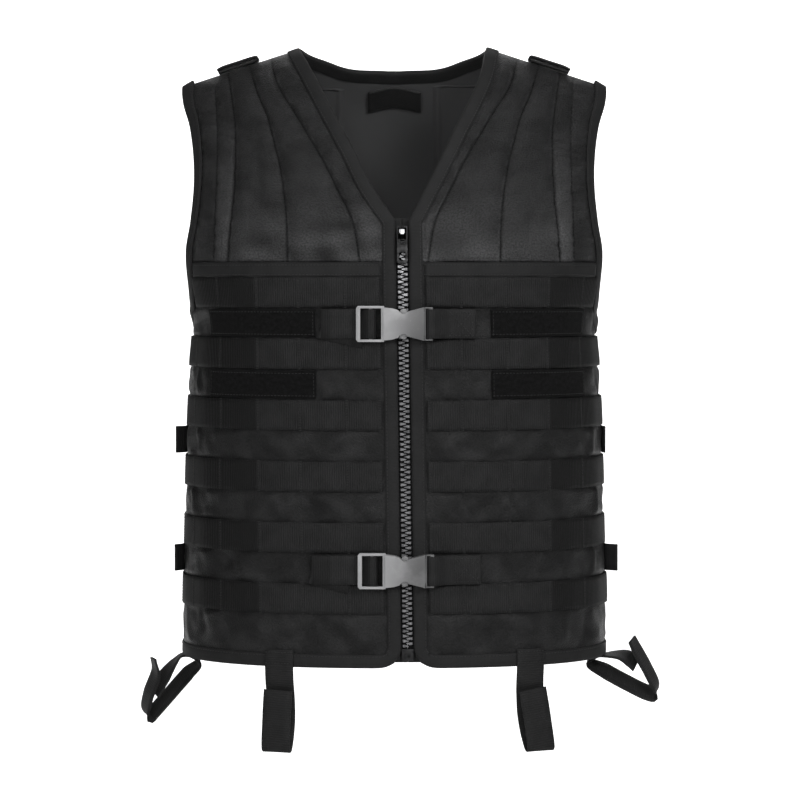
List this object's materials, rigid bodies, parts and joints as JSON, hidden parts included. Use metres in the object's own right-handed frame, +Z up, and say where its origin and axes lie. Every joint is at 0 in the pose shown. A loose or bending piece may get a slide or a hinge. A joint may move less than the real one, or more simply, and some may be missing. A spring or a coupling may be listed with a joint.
{
  "type": "webbing carrier vest",
  "caption": "Black nylon load-carrying vest with a zip and side-release buckles in front, quilted shoulders, rows of pouch webbing and belt loops at the hem, shaped as worn.",
  "frame": {"origin": "midway between the shoulders of the wearer, level with where the vest rests on them", "axes": "+Z up as worn, -Y toward the front, +X toward the right of someone who faces the front"},
  "size_m": [0.4502, 0.2436, 0.5936],
  "materials": {
    "nylon": "plain woven nylon, matt",
    "padding": "quilted woven nylon over foam",
    "webbing": "ribbed nylon webbing",
    "hook_loop": "fuzzy loop tape",
    "plastic": "satin moulded plastic",
    "metal": "dull plated"
  },
  "bodies": {
    "vest": {"armhole_binding_left": "webbing", "armhole_binding_right": "webbing", "back_hem_binding": "webbing", "back_neck_binding": "webbing", "back_panel": "nylon", "belt_loop_front_left": "webbing", "belt_loop_front_right": "webbing", "belt_loop_side_left": "webbing", "belt_loop_side_right": "webbing", "buckle_bottom_plug": "plastic", "buckle_bottom_socket": "plastic", "buckle_top_plug": "plastic", "buckle_top_socket": "plastic", "chest_band_left": "webbing", "chest_band_right": "webbing", "front_binding_left": "webbing", "front_binding_right": "webbing", "front_panel_left": "nylon", "front_panel_right": "nylon", "front_yoke_left": "padding", "front_yoke_right": "padding", "loop_patch_left_1": "hook_loop", "loop_patch_left_2": "hook_loop", "loop_patch_right_1": "hook_loop", "loop_patch_right_2": "hook_loop", "neck_label": "nylon", "shoulder_loop_left": "webbing", "shoulder_loop_right": "webbing", "side_strap_left_1": "webbing", "side_strap_left_2": "webbing", "side_strap_right_1": "webbing", "side_strap_right_2": "webbing", "strap_bottom_left": "webbing", "strap_bottom_right": "webbing", "strap_top_left": "webbing", "strap_top_right": "webbing", "webbing_back_1": "webbing", "webbing_back_2": "webbing", "webbing_back_3": "webbing", "webbing_back_4": "webbing", "webbing_back_5": "webbing", "webbing_left_1": "webbing", "webbing_left_2": "webbing", "webbing_left_3": "webbing", "webbing_left_4": "webbing", "webbing_left_5": "webbing", "webbing_left_6": "webbing", "webbing_right_1": "webbing", "webbing_right_2": "webbing", "webbing_right_3": "webbing", "webbing_right_4": "webbing", "webbing_right_5": "webbing", "webbing_right_6": "webbing", "zip_box": "metal", "zip_slider": "metal", "zip_tape_left": "nylon", "zip_tape_right": "nylon", "zip_teeth": "metal"},
    "zip_pull": {"zip_pull": "metal"}
  },
  "joints": [
    {"name": "zip_pull_hinge", "type": "hinge", "parent": "vest", "child": "zip_pull", "pos_m": [0.00678, -0.11913, -0.13906], "axis": [-1, 0, 0], "range_deg": [0, 165]}
  ]
}
